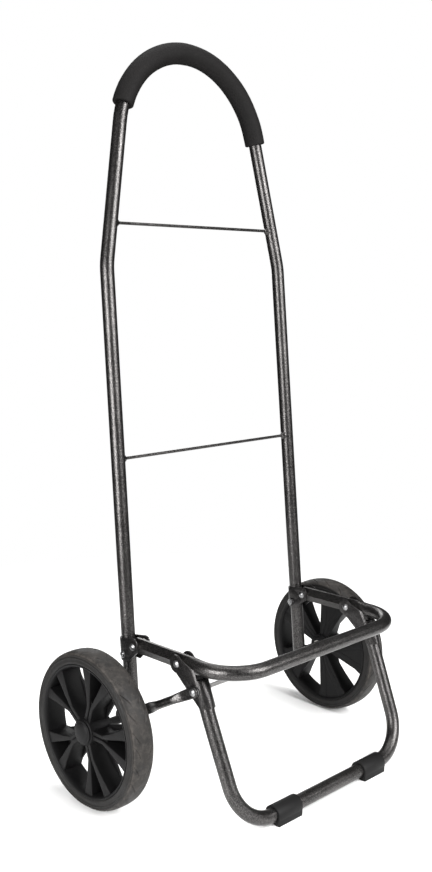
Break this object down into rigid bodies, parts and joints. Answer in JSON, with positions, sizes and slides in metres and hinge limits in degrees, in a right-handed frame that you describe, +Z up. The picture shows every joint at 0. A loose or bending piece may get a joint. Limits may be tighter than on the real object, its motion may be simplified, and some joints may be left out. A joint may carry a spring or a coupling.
{
  "type": "folding luggage trolley frame",
  "caption": "Two-wheeled folding luggage trolley: bent tube frame with foam grip, hinged platform loop, folding leg loop on feet, side struts and spoked wheels.",
  "frame": {"origin": "on the floor under the middle of the overall box", "axes": "+Z up, +X to the user's right seen from behind the handle, +Y to the rear, away from the platform"},
  "size_m": [0.4964, 0.3045, 0.9711],
  "materials": {
    "frame_coat": "speckled hammered powder coat",
    "bracket_coat": "speckled hammered powder coat",
    "foam": "matte closed-cell foam",
    "zinc": "bright zinc plate",
    "axle_steel": "dull steel",
    "black_plastic": "moulded black plastic",
    "rim_plastic": "moulded black plastic",
    "tyre_rubber": "dusty black rubber",
    "nylon": "natural nylon"
  },
  "bodies": {
    "frame": {"main_tube": "frame_coat", "foam_grip": "foam", "upper_cross_rod": "frame_coat", "lower_cross_rod": "frame_coat", "left_hinge_bracket": "bracket_coat", "right_hinge_bracket": "bracket_coat", "hinge_bracket_bolts": "zinc", "hinge_bracket_nuts": "zinc", "platform_pivot_rivets": "zinc", "platform_pivot_washers": "nylon", "upright_plugs": "black_plastic", "axle": "axle_steel", "axle_washers": "zinc", "axle_spacers": "black_plastic", "axle_push_nuts": "zinc"},
    "platform": {"platform_loop": "frame_coat"},
    "leg": {"leg_loop": "frame_coat", "left_leg_bracket": "bracket_coat", "right_leg_bracket": "bracket_coat", "leg_pivot_rivets": "zinc", "leg_pivot_washers": "nylon", "strut_rivets": "zinc", "strut_washers": "zinc", "leg_plugs": "black_plastic", "left_foot": "black_plastic", "right_foot": "black_plastic", "foot_screws": "zinc"},
    "left_strut_body": {"left_strut": "frame_coat"},
    "right_strut_body": {"right_strut": "frame_coat"},
    "left_wheel": {"left_rim": "rim_plastic", "left_tyre": "tyre_rubber", "left_hub_cap": "rim_plastic", "left_hub_bushes": "nylon"},
    "right_wheel": {"right_rim": "rim_plastic", "right_tyre": "tyre_rubber", "right_hub_cap": "rim_plastic", "right_hub_bushes": "nylon"}
  },
  "joints": [
    {"name": "platform_fold", "type": "hinge", "parent": "frame", "child": "platform", "pos_m": [0, 0.03925, 0.195], "axis": [-1, 0, 0], "range_deg": [0, 80]},
    {"name": "leg_fold", "type": "hinge", "parent": "platform", "child": "leg", "pos_m": [0, -0.04375, 0.1945], "axis": [1, 0, 0], "range_deg": [0, 104]},
    {"name": "left_strut_swing", "type": "hinge", "parent": "leg", "child": "left_strut_body", "pos_m": [0, -0.07725, 0.169], "axis": [-1, 0, 0], "range_deg": [0, 67]},
    {"name": "right_strut_swing", "type": "hinge", "parent": "leg", "child": "right_strut_body", "pos_m": [0, -0.07725, 0.169], "axis": [-1, 0, 0], "range_deg": [0, 67]},
    {"name": "left_wheel_spin", "type": "hinge", "parent": "frame", "child": "left_wheel", "pos_m": [-0.2259, 0.05225, 0.1], "axis": [-1, 0, 0], "continuous": true},
    {"name": "right_wheel_spin", "type": "hinge", "parent": "frame", "child": "right_wheel", "pos_m": [0.2259, 0.05225, 0.1], "axis": [-1, 0, 0], "continuous": true}
  ],
  "couplings": [
    {"joint": "leg_fold", "follows": "platform_fold", "ratio": 1.3},
    {"joint": "left_strut_swing", "follows": "platform_fold", "ratio": 0.8375},
    {"joint": "right_strut_swing", "follows": "platform_fold", "ratio": 0.8375}
  ]
}
